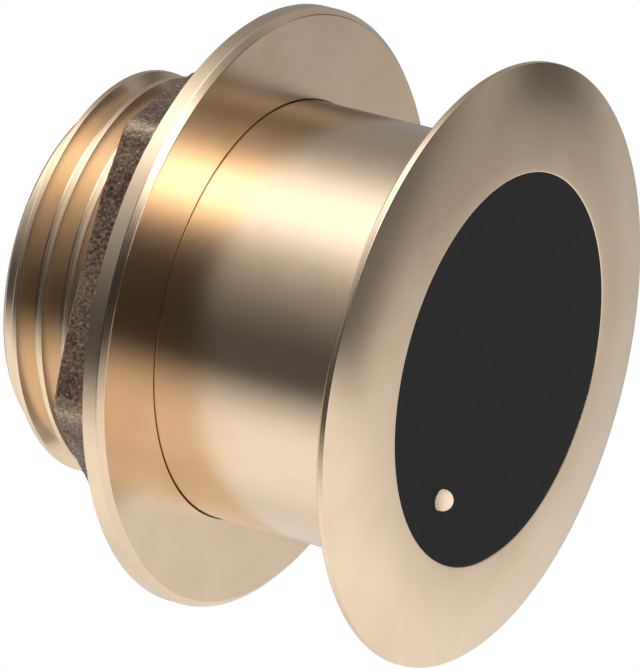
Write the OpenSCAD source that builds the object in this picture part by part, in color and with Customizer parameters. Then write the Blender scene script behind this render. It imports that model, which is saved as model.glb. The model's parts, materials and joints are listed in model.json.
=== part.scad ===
// Bronze through-hull sonar transducer with its hull nut.
// The stem points up and the sounding face points down, as it hangs in a hull.
// Heights are counted from the tip of the temperature stud, the part's lowest point.

/* [Flange] */
// Outer diameter of the domed flange
flange_d = 127; // [120:0.5:140]
// Height of the flange's plain edge below the hull seat
rim_h = 1.6; // [1:0.1:2.4]
// Break of the flange's edge at the hull seat
rim_break = 0.4; // [0.2:0.1:0.8]
// Depth of the sounding face below the hull seat
face_depth = 4.9; // [4:0.1:7]
// Width of the bare lip between the black face and the dome
lip_w = 1.2; // [0.6:0.1:3]

/* [Stem] */
// Diameter of the smooth waist
waist_d = 89.4; // [88:0.1:96]
// Height of the waist's shoulder above the hull seat
waist_h = 54; // [50:0.5:58]
// Height of the stem's end above the hull seat
stem_h = 92.6; // [88:0.2:110]
// Diameter of the plain pilot at the stem's end
pilot_d = 76.6; // [72:0.2:78]
// Length of the pilot
pilot_h = 5; // [3:0.5:8]
// Chamfer on the stem's end
end_chamfer = 1; // [0.4:0.1:2]
// Bore of the stem
stem_bore_d = 64; // [58:0.5:68]
// Bore of the chamber behind the sounding face
chamber_d = 79; // [74:0.5:81]
// Height of the chamber's straight wall above the hull seat
chamber_h = 44; // [40:0.5:46]

/* [Thread] */
// Outer diameter of the stem's thread
thread_d = 86.1; // [84:0.1:87.5]
// Pitch of the thread
thread_pitch = 6.35; // [5:0.05:7]
// Angle between the two flanks of the thread
thread_angle = 60; // [50:1:70]
// Distance from the waist's shoulder to the first turn
thread_relief = 3.5; // [3:0.1:6]
// Distance from the last turn to the stem's end
thread_runout = 3.3; // [3:0.1:6]
// Direction, seen from the stem's end, in which the last turn ends
thread_end_angle = 70; // [0:1:359]
// Gap between the flanks of stem and nut
thread_gap = 0.2; // [0.1:0.05:0.3]

/* [Hull nut] */
// Outer diameter of the nut's flange
nut_flange_d = 128; // [122:0.5:140]
// Thickness of the nut's flange
nut_flange_t = 4.6; // [4.4:0.1:7]
// Chamfer on the front corner of the nut's flange
nut_chamfer = 1.3; // [0.5:0.1:2]
// Width across the flats of the hexagon
nut_af = 108; // [102:0.5:114]
// Height of the hexagon behind the flange
nut_hex_h = 12.1; // [8:0.1:16]
// Turn of the hexagon about the nut's axis
nut_turn = -2; // [-30:1:30]
// How far the hexagon's cut-back corners lie inside the flange's edge
nut_corner_inset = 2.8; // [2:0.1:5]
// Slope of the chamfer on the back of the hexagon
nut_slope = 18; // [10:1:30]
// How far the waist runs into the nut
nut_overlap = 3.6; // [2:0.1:3.8]
// Gap between the waist's shoulder and the nut
nut_shoulder_gap = 0.3; // [0.2:0.1:0.6]
// Gap round the waist in the nut's mouth
nut_mouth_gap = 0.7; // [0.3:0.1:1]

/* [Sounding face] */
// Diameter of the black acoustic window
window_d = 82.4; // [81.2:0.1:84]
// Thickness of the window
window_t = 5; // [4.6:0.1:6]
// Diameter of the temperature stud's tip
stud_d = 4.5; // [3.5:0.1:6]
// Height of the stud's straight part above the window
stud_proud = 0.4; // [0.2:0.1:1]
// Gap between the stud and the wedge
stud_gap = 0.85; // [0.65:0.05:2.2]
// Direction of the stud from the axis
stud_angle = 201.3; // [190:0.1:215]
// Diameter of the stud's collar inside the window
stud_collar_d = 7; // [6.6:0.1:9]
// Thickness of the stud's collar
stud_collar_t = 1.6; // [1:0.1:2]
// Height of the stud's top above the window
stud_top = 6; // [4:0.5:8]
// Bore of the stud for the sensor bead
stud_bore_d = 2.6; // [2.4:0.1:3]
// Length of the sensor bead
bead_l = 3; // [2:0.1:4]
// Room round the sensor bead
bead_gap = 0.1; // [0.05:0.05:0.2]
// Diameter of a sensor lead
sensor_lead_d = 0.9; // [0.6:0.05:1]
// Distance between the middles of the two sensor leads
sensor_lead_pitch = 1.2; // [1.1:0.05:1.3]

/* [Sounding element] */
// Tilt of the element, which levels the beam in a sloping hull
tilt = 12; // [4:1:14]
// Diameter of the wedge that sets the tilt
wedge_d = 55; // [50:0.5:56]
// Thickness of the wedge at its thin side
wedge_min = 2; // [1:0.1:3]
// Diameter of the ceramic disc
ceramic_d = 46; // [40:0.5:48]
// Thickness of the ceramic disc
ceramic_t = 10; // [6:0.5:11]
// Thickness of the matching layer
matching_t = 3; // [2:0.1:4]
// Thickness of the cork backing
backing_t = 5; // [3:0.5:6]
// Wall of the cork sleeve round the element
sleeve_wall = 2; // [1:0.1:3]
// Diameter of an insulated lead
lead_d = 1.8; // [1.2:0.1:2.4]
// Distance of each signal lead from the axis
lead_r = 14; // [10:0.5:17]

/* [Electronics] */
// Height of the terminal board above the hull seat
board_h = 34; // [33:0.5:38]
// Width of the terminal board outside the sensor leads
board_edge = 2.4; // [1.9:0.1:4.4]
// Thickness of the terminal board
board_t = 1.6; // [1:0.1:2.4]
// Outer diameter of the transformer's pot core
core_d = 30; // [26:0.5:34]
// Height of the closed pot core
core_h = 19; // [16:0.5:24]
// Wall of the pot core
core_wall = 2.6; // [2:0.1:3]
// Diameter of the core's middle post
post_d = 12; // [10:0.5:14]
// Hole through the core's middle post
post_bore_d = 5.4; // [3:0.1:6]
// Wall of the bobbin
bobbin_wall = 0.9; // [0.6:0.1:1.2]
// Room left round the bobbin and its winding
bobbin_gap = 0.3; // [0.2:0.1:0.5]
// Length of the identity chip
chip_l = 5; // [4:0.1:8]
// Width of the identity chip
chip_w = 4; // [3:0.1:6]
// Height of the identity chip
chip_h = 1.8; // [1:0.1:3]
// Length of the bleed resistor
resistor_l = 7; // [5:0.5:10]
// Diameter of the bleed resistor
resistor_d = 2.6; // [2:0.1:4]
// Distance of the chip and the resistor from the axis
chip_r = 23; // [22:0.5:25]

/* [Potting and cable gland] */
// Depth of the potting below the stem's end
potting_depth = 2; // [1:0.1:4]
// Bore of the gland for the cable
cable_bore_d = 8.4; // [7:0.1:9]
// Outer diameter of the gland's body
gland_d = 15; // [14:0.1:16]
// Length of the gland's body in the potting
gland_sunk = 16; // [10:0.5:22]
// Height of the gland's collar
gland_collar_h = 4; // [3:0.5:6]
// Width across the flats of the gland's collar and nut
gland_af = 19; // [18.6:0.2:24]
// Height of the gland's neck above its collar
gland_neck_h = 5; // [4:0.5:8]
// Wall of the gland's neck round the seal
gland_neck_wall = 1.4; // [1:0.1:1.8]
// How far the seal stands above the neck
seal_proud = 1; // [0.5:0.1:2]
// Thickness of the gland's washer
washer_t = 1; // [0.6:0.1:2]
// Thickness of the gland nut's top
gland_nut_top = 2.4; // [1.5:0.1:4]
// Gap between the gland's collar and its nut
gland_nut_gap = 0.8; // [0.4:0.1:2]
// Room round the seal, the washer and the neck
gland_gap = 0.15; // [0.1:0.05:0.3]

/* [Hidden] */
$fn = 96;
// Cutting solids run past what they cut by this much
past = 1;
bronze = "#b8976a";
black = "#2b2b2b";

flange_r = flange_d / 2;
waist_r = waist_d / 2;
window_r = window_d / 2;
lip_r = window_r + lip_w;
chamber_r = chamber_d / 2;
bore_r = stem_bore_d / 2;
stud_tip_r = stud_d / 2;
// Heights of the faces that the rest is built from
face_z = stud_proud + stud_tip_r;
seat_z = face_z + face_depth;
shoulder_z = seat_z + waist_h;
stem_top = seat_z + stem_h;
window_top = face_z + window_t;
chamber_z = seat_z + chamber_h;
// The chamber closes to the stem's bore by a 45 degree cone
chamber_top = chamber_z + chamber_r - bore_r;
// The dome is an arc that leaves the lip level and ends at the flange's edge
dome_drop = face_depth - rim_h;
dome_reach = flange_r - lip_r;
dome_r = (dome_reach ^ 2 + dome_drop ^ 2) / (2 * dome_drop);

// The crest is a sixth of the pitch wide and the root an eighth
half_angle = thread_angle / 2;
crest_w = thread_pitch / 6;
root_w = thread_pitch / 8;
thread_r = thread_d / 2;
thread_depth = (thread_pitch - crest_w - root_w) / (2 * tan(half_angle));
root_r = thread_r - thread_depth;
thread_steps = 48;
// A turn fades in and out over an eighth of a revolution
fade_steps = thread_steps / 8;
// Ridges are rooted this deep in the wall that carries them
ridge_root = thread_pitch / 16;
thread_top = stem_top - thread_runout;
stem_steps = floor((thread_top - shoulder_z - thread_relief) / thread_pitch * thread_steps);

nut_z = shoulder_z - nut_overlap;
nut_back = nut_z + nut_flange_t + nut_hex_h;
nut_thread_z = shoulder_z + nut_shoulder_gap;
nut_bore_r = thread_r + thread_gap / cos(half_angle);
nut_tip_r = root_r + thread_gap / cos(half_angle);
nut_ridge_w = groove_w(nut_bore_r + ridge_root);
nut_steps = floor((nut_back - nut_thread_z - nut_ridge_w) / thread_pitch * thread_steps);
nut_first_z = nut_thread_z + nut_ridge_w / 2;

stud_r = wedge_d / 2 + stud_gap + stud_tip_r;
// The collar lies halfway through the window
stud_collar_z = window_top - window_t / 2 - stud_collar_t / 2;
stud_top_z = window_top + stud_top;
// The stud's bore ends level with the window's outer face
bead_z = face_z;

wedge_mid = window_top + wedge_min + wedge_d / 2 * tan(tilt);
wedge_high = wedge_mid + wedge_d / 2 * tan(tilt);
element_t = matching_t + ceramic_t + backing_t;
sleeve_d = ceramic_d + 2 * sleeve_wall;
board_z = seat_z + board_h;
board_r = stud_r + board_edge;
core_z = board_z + board_t;
coil_room_r = core_d / 2 - core_wall;
bobbin_r = post_d / 2 + bobbin_gap;
bobbin_z = core_z + core_wall;
bobbin_h = core_h - 2 * core_wall - bobbin_gap;
bobbin_flange_r = coil_room_r - bobbin_gap;
resistor_leg_d = resistor_d / 3;

potting_top = stem_top - potting_depth;
collar_top = potting_top + gland_collar_h;
neck_top = collar_top + gland_neck_h;
seal_pocket_r = gland_d / 2 - gland_neck_wall;
washer_z = neck_top + seal_proud;
gland_nut_z = collar_top + gland_nut_gap;
gland_nut_h = washer_z + washer_t + gland_nut_top - gland_nut_z;

// Width of the room between two turns of the stem's thread at radius r, less the gap on both flanks
function groove_w(r) = root_w + 2 * (r - root_r) * tan(half_angle) - 2 * thread_gap / cos(half_angle);
// Width of the stem's own ridge at radius r
function ridge_w(r) = crest_w + 2 * (thread_r - r) * tan(half_angle);
// Height of a crest of the stem's thread in direction a, counted down from the last turn's end
function crest_z(a) = thread_top + thread_pitch * (a - thread_end_angle) / 360;
// Share of the full ridge that stands at step i of n
function fade(i, n) = min(1, i / fade_steps, (n - i) / fade_steps);

// A ridge wound on a wall, from radius wall_r to tip_r, n steps long, starting at height z in direction a
module helical_ridge(wall_r, tip_r, wall_w, tip_w, z, a, n) {
    tip_least = 0.02;
    points = [for (i = [0 : n])
        let (turn = a + 360 * i / thread_steps,
             lift = z + thread_pitch * i / thread_steps,
             share = max(tip_least, fade(i, n)),
             tip = wall_r + (tip_r - wall_r) * share,
             half_tip = (wall_w + (tip_w - wall_w) * share) / 2)
        for (p = [[wall_r, -wall_w / 2], [tip, -half_tip], [tip, half_tip], [wall_r, wall_w / 2]])
        [p[0] * cos(turn), p[0] * sin(turn), lift + p[1]]];
    sides = [for (i = [0 : n - 1], k = [0 : 3])
        let (p = 4 * i + k, q = 4 * i + (k + 1) % 4)
        each [[p, q, q + 4], [p, q + 4, p + 4]]];
    ends = [[3, 2, 1], [3, 1, 0], [4 * n, 4 * n + 1, 4 * n + 2], [4 * n, 4 * n + 2, 4 * n + 3]];
    faces = concat(sides, ends);
    polyhedron(points, tip_r > wall_r ? faces : [for (f = faces) [f[2], f[1], f[0]]]);
}

// A hexagon of the given width across its flats, with two flats square to the y axis
module hexagon_bar(across_flats, h) {
    cylinder(d = across_flats / cos(30), h = h, $fn = 6);
}

// Places a layer of the sounding element at height h above the wedge, square to the tilted beam
module on_wedge(h) {
    translate([0, 0, wedge_mid])
        rotate([tilt, 0, 0])
            translate([0, 0, h])
                children();
}

module at_stud() {
    rotate(stud_angle)
        translate([stud_r, 0, 0])
            children();
}

module tube(outer_r, inner_r, h) {
    difference() {
        cylinder(r = outer_r, h = h);
        translate([0, 0, -past])
            cylinder(r = inner_r, h = h + 2 * past);
    }
}

// Half of the flange's section: lip, dome and plain edge
module flange_section() {
    translate([0, face_z])
        square([lip_r, face_depth]);
    intersection() {
        translate([lip_r, face_z + dome_r])
            circle(r = dome_r, $fn = 360);
        translate([lip_r, face_z])
            square([dome_reach, dome_drop]);
    }
    polygon([[0, seat_z], [flange_r - rim_break, seat_z], [flange_r, seat_z - rim_break],
             [flange_r, seat_z - rim_h], [0, seat_z - rim_h]]);
}

// The room inside the housing, from the window's back to height top
module inner_room(top) {
    translate([0, 0, window_top])
        cylinder(r = chamber_r, h = chamber_z - window_top);
    translate([0, 0, chamber_z])
        cylinder(r1 = chamber_r, r2 = bore_r, h = chamber_top - chamber_z);
    translate([0, 0, chamber_top])
        cylinder(r = bore_r, h = top - chamber_top);
}

// The stem above the waist: core, pilot and right-hand thread
module threaded_stem() {
    translate([0, 0, seat_z]) {
        cylinder(r = root_r, h = stem_h - pilot_h);
        cylinder(d = pilot_d, h = stem_h - end_chamfer);
    }
    translate([0, 0, stem_top - end_chamfer])
        cylinder(d1 = pilot_d, d2 = pilot_d - 2 * end_chamfer, h = end_chamfer);
    wall_r = root_r - ridge_root;
    helical_ridge(wall_r, thread_r, ridge_w(wall_r), crest_w,
                  thread_top - thread_pitch * stem_steps / thread_steps,
                  thread_end_angle - 360 * stem_steps / thread_steps, stem_steps);
}

module housing() {
    color(bronze)
        difference() {
            union() {
                rotate_extrude($fn = 180)
                    flange_section();
                translate([0, 0, seat_z])
                    cylinder(r = waist_r, h = waist_h, $fn = 180);
                threaded_stem();
            }
            translate([0, 0, face_z - past])
                cylinder(r = window_r, h = window_t + past, $fn = 180);
            inner_room(stem_top + past);
        }
}

module stud_solid() {
    at_stud() {
        translate([0, 0, face_z - stud_proud]) {
            sphere(r = stud_tip_r);
            cylinder(r = stud_tip_r, h = stud_top_z - face_z + stud_proud);
        }
        translate([0, 0, stud_collar_z])
            cylinder(d = stud_collar_d, h = stud_collar_t);
    }
}

module acoustic_window() {
    color(black)
        difference() {
            translate([0, 0, face_z])
                cylinder(r = window_r, h = window_t, $fn = 180);
            stud_solid();
        }
}

module temperature_stud() {
    color("#e2c39a")
        difference() {
            stud_solid();
            at_stud()
                translate([0, 0, bead_z])
                    cylinder(d = stud_bore_d, h = stud_top_z - bead_z + past);
        }
}

module sensor_bead() {
    color("#3b3f4a")
        at_stud()
            translate([0, 0, bead_z])
                cylinder(d = stud_bore_d - 2 * bead_gap, h = bead_l);
}

module sensor_leads() {
    color("#c8b400")
        at_stud()
            for (side = [-1, 1])
                translate([0, side * sensor_lead_pitch / 2, bead_z + bead_l])
                    cylinder(d = sensor_lead_d, h = board_z - bead_z - bead_l, $fn = 24);
}

module tilt_wedge() {
    color("#d9d4c6")
        intersection() {
            translate([0, 0, window_top])
                cylinder(d = wedge_d, h = wedge_high - window_top);
            on_wedge(-wedge_d)
                translate([-wedge_d, -wedge_d, 0])
                    cube([2 * wedge_d, 2 * wedge_d, wedge_d]);
        }
}

module matching_layer() {
    color("#7d8a99")
        on_wedge(0)
            cylinder(d = ceramic_d, h = matching_t);
}

module ceramic_disc() {
    color("#d8cfae")
        on_wedge(matching_t)
            cylinder(d = ceramic_d, h = ceramic_t);
}

// The two leads before they are trimmed to the ceramic's back
module lead_pair() {
    for (side = [-1, 1])
        translate([side * lead_r, 0, wedge_mid + matching_t])
            cylinder(d = lead_d, h = board_z - wedge_mid - matching_t, $fn = 24);
}

module cork_backing() {
    color("#b58a5a")
        difference() {
            on_wedge(matching_t + ceramic_t)
                cylinder(d = ceramic_d, h = backing_t);
            lead_pair();
        }
}

module cork_sleeve() {
    color("#a87d4f")
        on_wedge(0)
            tube(sleeve_d / 2, ceramic_d / 2, element_t);
}

module signal_leads() {
    color("#b03a2e")
        difference() {
            lead_pair();
            on_wedge(-past)
                cylinder(d = ceramic_d, h = past + matching_t + ceramic_t);
        }
}

module terminal_board() {
    color("#2f6b45")
        translate([0, 0, board_z])
            cylinder(r = board_r, h = board_t);
}

module identity_chip() {
    color("#1e1e20")
        translate([chip_r - chip_l / 2, -chip_w / 2, core_z])
            cube([chip_l, chip_w, chip_h]);
}

module bleed_resistor() {
    color("#c9a678")
        translate([-chip_r, 0, core_z]) {
            translate([0, 0, resistor_d])
                rotate([90, 0, 0])
                    cylinder(d = resistor_d, h = resistor_l, center = true, $fn = 32);
            for (side = [-1, 1])
                translate([0, side * (resistor_l - resistor_leg_d) / 2, 0])
                    cylinder(d = resistor_leg_d, h = resistor_d, $fn = 24);
        }
}

// One half of the pot core, open side up, with its back at z = 0
module core_half() {
    difference() {
        cylinder(d = core_d, h = core_h / 2);
        translate([0, 0, core_wall])
            tube(coil_room_r, post_d / 2, core_h);
        translate([0, 0, -past])
            cylinder(d = post_bore_d, h = core_h);
    }
}

module core_lower() {
    color("#3a3a3c")
        translate([0, 0, core_z])
            core_half();
}

module core_upper() {
    color("#434346")
        translate([0, 0, core_z + core_h])
            mirror([0, 0, 1])
                core_half();
}

module bobbin() {
    color("#e8e4d8")
        translate([0, 0, bobbin_z]) {
            tube(bobbin_r + bobbin_wall, bobbin_r, bobbin_h);
            for (z = [0, bobbin_h - bobbin_wall])
                translate([0, 0, z])
                    tube(bobbin_flange_r, bobbin_r, bobbin_wall);
        }
}

module winding() {
    color("#a4572a")
        translate([0, 0, bobbin_z + bobbin_wall])
            tube(bobbin_flange_r, bobbin_r + bobbin_wall, bobbin_h - 2 * bobbin_wall);
}

module gland_sleeve() {
    translate([0, 0, potting_top - gland_sunk])
        cylinder(d = gland_d, h = gland_sunk);
}

module potting() {
    color("#3c3b3a")
        difference() {
            inner_room(potting_top);
            stud_solid();
            sensor_leads();
            tilt_wedge();
            on_wedge(0)
                cylinder(d = sleeve_d, h = element_t);
            lead_pair();
            terminal_board();
            identity_chip();
            bleed_resistor();
            translate([0, 0, core_z])
                cylinder(d = core_d, h = core_h);
            gland_sleeve();
        }
}

module gland_body() {
    color("#c2a878")
        difference() {
            union() {
                gland_sleeve();
                translate([0, 0, potting_top])
                    hexagon_bar(gland_af, gland_collar_h);
                translate([0, 0, collar_top])
                    cylinder(d = gland_d, h = gland_neck_h);
            }
            translate([0, 0, potting_top - gland_sunk - past])
                cylinder(d = cable_bore_d, h = neck_top - potting_top + gland_sunk + 2 * past);
            translate([0, 0, collar_top])
                cylinder(r = seal_pocket_r, h = gland_neck_h + past);
        }
}

module gland_seal() {
    color("#232323")
        translate([0, 0, collar_top])
            tube(seal_pocket_r - gland_gap, cable_bore_d / 2, gland_neck_h + seal_proud);
}

module gland_washer() {
    color("#cfd2d4")
        translate([0, 0, washer_z])
            tube(gland_d / 2, cable_bore_d / 2 + gland_gap, washer_t);
}

module gland_nut() {
    color("#c2a878")
        translate([0, 0, gland_nut_z])
            difference() {
                intersection() {
                    hexagon_bar(gland_af, gland_nut_h);
                    cylinder(d1 = gland_af / cos(30) + 2 * gland_nut_h, d2 = gland_af, h = gland_nut_h);
                }
                translate([0, 0, -past])
                    cylinder(r = gland_d / 2 + gland_gap, h = gland_nut_h - gland_nut_top + past);
                cylinder(r = cable_bore_d / 2 + gland_gap, h = gland_nut_h + past);
            }
}

// Half of the solid of revolution that trims the hull nut: flange, cut-back corners and sloping back
module hull_nut_section() {
    flat_r = nut_af / 2;
    corner_r = nut_flange_d / 2 - nut_corner_inset;
    corner_h = nut_hex_h - (corner_r - flat_r) * tan(nut_slope);
    // The hexagon is rooted halfway down in the flange
    root_h = nut_flange_t / 2;
    polygon([[0, root_h], [corner_r, root_h], [corner_r, nut_flange_t + corner_h],
             [flat_r, nut_flange_t + nut_hex_h], [0, nut_flange_t + nut_hex_h]]);
}

module hull_nut() {
    rim_r = nut_flange_d / 2;
    color("#a98d63")
        translate([0, 0, nut_z]) {
            difference() {
                union() {
                    translate([0, 0, nut_chamfer])
                        cylinder(r = rim_r, h = nut_flange_t - nut_chamfer, $fn = 180);
                    cylinder(r1 = rim_r - nut_chamfer, r2 = rim_r, h = nut_chamfer, $fn = 180);
                    intersection() {
                        rotate([0, 0, nut_turn])
                            hexagon_bar(nut_af, nut_flange_t + nut_hex_h);
                        rotate_extrude($fn = 180)
                            hull_nut_section();
                    }
                }
                translate([0, 0, -past])
                    cylinder(r = waist_r + nut_mouth_gap, h = nut_thread_z - nut_z + past, $fn = 180);
                cylinder(r = nut_bore_r, h = nut_flange_t + nut_hex_h + past, $fn = 180);
            }
            wall_r = nut_bore_r + ridge_root;
            helical_ridge(wall_r, nut_tip_r, nut_ridge_w, groove_w(nut_tip_r), nut_first_z - nut_z,
                          thread_end_angle + (nut_first_z - thread_top - thread_pitch / 2) * 360 / thread_pitch,
                          nut_steps);
        }
}

housing();
acoustic_window();
temperature_stud();
sensor_bead();
sensor_leads();
tilt_wedge();
matching_layer();
ceramic_disc();
cork_backing();
cork_sleeve();
signal_leads();
terminal_board();
identity_chip();
bleed_resistor();
core_lower();
core_upper();
bobbin();
winding();
potting();
gland_body();
gland_seal();
gland_washer();
gland_nut();
hull_nut();
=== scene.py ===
"""Looks of a bronze through-hull sonar transducer, built around its solid model.

The stem points up and the sounding face points down. Lengths are in metres.
"""
import json
import math

import bmesh
import bpy
from bpy.props import FloatProperty, FloatVectorProperty, PointerProperty
from mathutils import Matrix, Vector, noise


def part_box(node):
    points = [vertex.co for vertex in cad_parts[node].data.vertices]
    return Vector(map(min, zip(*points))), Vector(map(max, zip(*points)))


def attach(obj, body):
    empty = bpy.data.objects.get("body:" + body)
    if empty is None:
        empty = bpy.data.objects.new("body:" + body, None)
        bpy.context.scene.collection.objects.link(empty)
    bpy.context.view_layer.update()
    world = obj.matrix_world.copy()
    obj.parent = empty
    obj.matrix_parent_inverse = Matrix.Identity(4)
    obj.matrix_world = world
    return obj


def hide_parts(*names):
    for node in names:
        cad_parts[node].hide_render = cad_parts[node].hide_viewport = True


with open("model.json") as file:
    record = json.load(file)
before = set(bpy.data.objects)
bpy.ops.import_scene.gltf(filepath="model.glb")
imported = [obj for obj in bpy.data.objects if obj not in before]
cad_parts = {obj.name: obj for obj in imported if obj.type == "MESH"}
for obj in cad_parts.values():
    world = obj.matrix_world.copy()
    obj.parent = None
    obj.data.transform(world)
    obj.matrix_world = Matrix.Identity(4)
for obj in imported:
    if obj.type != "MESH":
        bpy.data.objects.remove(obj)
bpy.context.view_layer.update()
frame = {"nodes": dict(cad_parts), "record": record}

bl_info = {
    "name": "Sonar Transducer",
    "version": (1, 0, 0),
    "blender": (4, 5, 0),
    "location": "3D View > Sidebar > Transducer",
    "description": "Builds a bronze through-hull transducer with its hull nut and a studio stage",
    "category": "Object",
}

BODY = "root"
MM = 0.001
FULL_TURN = 2 * math.pi
# Angle between a hexagon's corner and the middle of its flat
HALF_FLAT = math.pi / 6
# Folds sharper than this stay crisp, and the rest are shaded smooth
CRISP = math.radians(35)

# Where the strip softbox hangs, seen from the part, to the camera's right, up and towards it
SOFTBOX = Vector((-0.03, 0.885, 0.465)).normalized()

# Fades of the room that the metal mirrors: what each measures on its wall, and where it is out and full
FADES = {
    "front": ("depth", -0.4, 0.2),
    "behind": ("depth", 0.2, -0.4),
    "camera_half": ("along", 0.35, -0.35),
    "stem_half": ("along", -0.35, 0.35),
    "table": ("rise", -0.42, -0.92),
    "overhead": ("rise", -0.25, 0.55),
    "backdrop": ("right", 0.82, 0.66),
    "backdrop_foot": ("up", 0.2, -0.5),
    "backdrop_side": ("right", 0.1, 0.45),
    "right_wall": ("right", 0.66, 0.82),
    "card": ("toward", -0.03, -0.3),
    "card_far_half": ("toward", -0.3, -0.5),
    "card_near_half": ("toward", -0.5, -0.3),
    "card_foot": ("up", 0.08, -0.06),
    "table_edge": ("up", -0.14, -0.27),
    "table_top": ("up", -0.28, -0.45),
    "past_card": ("toward", -0.3, -0.03),
    "over_table": ("up", -0.4, -0.26),
    "on_table": ("up", -0.26, -0.4),
}
# Panels of that room: how bright each is against white, and the fades that bound it
PANELS = (
    # In front and on the left: a white table, a ceiling, dim over the stem, and a dark wall by the camera
    (1.0, "front", "table"),
    (0.085, "front", "stem_half"),
    (0.245, "front", "stem_half", "overhead"),
    (0.03, "front", "camera_half"),
    # Behind: a grey backdrop that fades up from the table and is lighter towards the right
    (0.3, "behind", "backdrop"),
    (0.55, "behind", "backdrop", "backdrop_foot"),
    (0.12, "behind", "backdrop", "backdrop_side"),
    # On the right: a grey card whose far half darkens upwards, over the edge and the top of the table
    (0.4, "behind", "right_wall", "card", "card_near_half"),
    (0.08, "behind", "right_wall", "card_far_half"),
    (0.3, "behind", "right_wall", "card_far_half", "card_foot"),
    (0.42, "behind", "right_wall", "card", "table_edge"),
    (0.27, "behind", "right_wall", "card", "table_top"),
    # Past the card: darkness, and the table running on under it
    (0.1, "behind", "right_wall", "past_card", "over_table"),
    (1.05, "behind", "right_wall", "past_card", "on_table"),
)
# Spread of the softbox's strip round the part's axis in radians, and how much brighter it is in that half
STRIPS = {"stem_half": (0.46, 1.0), "camera_half": (0.36, 2.4)}

# Facets of one revolution
ROUND_STEPS = 360
CAST_STEPS = 1080
THREAD_STEPS = 120
STUD_STEPS = 72
GLAND_STEPS = 180
# Sectors that a revolution is copied together from
SECTORS = 12
# Facets of one rounded corner
ROUND_SEGMENTS = 4
# Share of the pitch that a thread's ridge reaches into the wall that carries it
ROOTED = 1 / 16


def linear(code):
    """Turns an sRGB hex colour into the linear colour that the shaders take."""
    parts = [int(code[i:i + 2], 16) / 255 for i in (1, 3, 5)]
    return [c / 12.92 if c <= 0.04045 else ((c + 0.055) / 1.055) ** 2.4 for c in parts]


def mount_height(name):
    """Height of one of the part's stated mounting faces."""
    return next(m for m in frame["record"]["mounts"] if m["name"] == name)["pos_m"][2]


def node_radius(node):
    """Half of a solid's width."""
    low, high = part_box(node)
    return (high[0] - low[0]) / 2


def length(name, description, default):
    """A length that a user may change, given in metres."""
    return FloatProperty(name=name, description=description, default=default, min=0, unit="LENGTH",
                         precision=5)


def angle(name, description, degrees):
    """An angle that a user may change, given in degrees."""
    return FloatProperty(name=name, description=description, default=math.radians(degrees), subtype="ANGLE")


def colour(name, description, code):
    """A colour that a user may change, given as an sRGB hex value."""
    return FloatVectorProperty(name=name, description=description, default=linear(code), size=3,
                               subtype="COLOR", min=0, max=1)


class TransducerHousing(bpy.types.PropertyGroup):
    """Sizes of the turned housing"""
    flange_radius: length("Flange radius", "Radius of the domed flange", node_radius("housing"))
    rim_height: length("Rim height", "Height of the flange's plain edge", 1.6 * MM)
    rim_break: length("Rim break", "Break of the flange's edge at the hull seat", 0.4 * MM)
    lip_width: length("Lip width", "Bare lip between the black face and the dome", 1.2 * MM)
    waist_radius: length("Waist radius", "Radius of the smooth waist", 44.7 * MM)
    waist_height: length("Waist height", "Height of the waist's shoulder above the hull seat", 54 * MM)
    waist_foot: length("Waist foot", "Fillet between the hull seat and the waist", 0.6 * MM)
    pilot_radius: length("Pilot radius", "Radius of the plain pilot at the stem's end", 38.3 * MM)
    pilot_length: length("Pilot length", "Length of the plain pilot", 5 * MM)
    end_chamfer: length("End chamfer", "Chamfer on the stem's end", 1 * MM)
    bore_radius: length("Bore radius", "Bore of the stem", 32 * MM)
    chamber_radius: length("Chamber radius", "Bore of the chamber behind the face", 39.5 * MM)
    chamber_height: length("Chamber height", "Top of the chamber's straight wall over the hull seat", 44 * MM)
    lip_round: length("Lip round", "Rounding of the lip's edge round the black face", 0.4 * MM)
    edge_round: length("Edge round", "Rounding of turned edges", 0.18 * MM)


class TransducerThread(bpy.types.PropertyGroup):
    """Sizes of the thread on the stem and in the nut"""
    crest_radius: length("Crest radius", "Outer radius of the stem's thread", 43.05 * MM)
    pitch: length("Pitch", "Rise of the thread in one turn", 6.35 * MM)
    flank_angle: angle("Flank angle", "Angle between the thread's two flanks", 60)
    end_angle: angle("End angle", "Direction in which the last turn ends", 70)
    relief: length("Relief", "Distance from the waist's shoulder to the first turn", 3.5 * MM)
    runout: length("Run-out", "Distance from the last turn to the stem's end", 3.3 * MM)
    gap: length("Gap", "Gap between the flanks of stem and nut", 0.2 * MM)
    crest_round: length("Crest round", "Rounding of the crest's two edges", 0.12 * MM)
    root_round: length("Root round", "Rounding at the foot of the flanks", 0.35 * MM)


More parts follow.
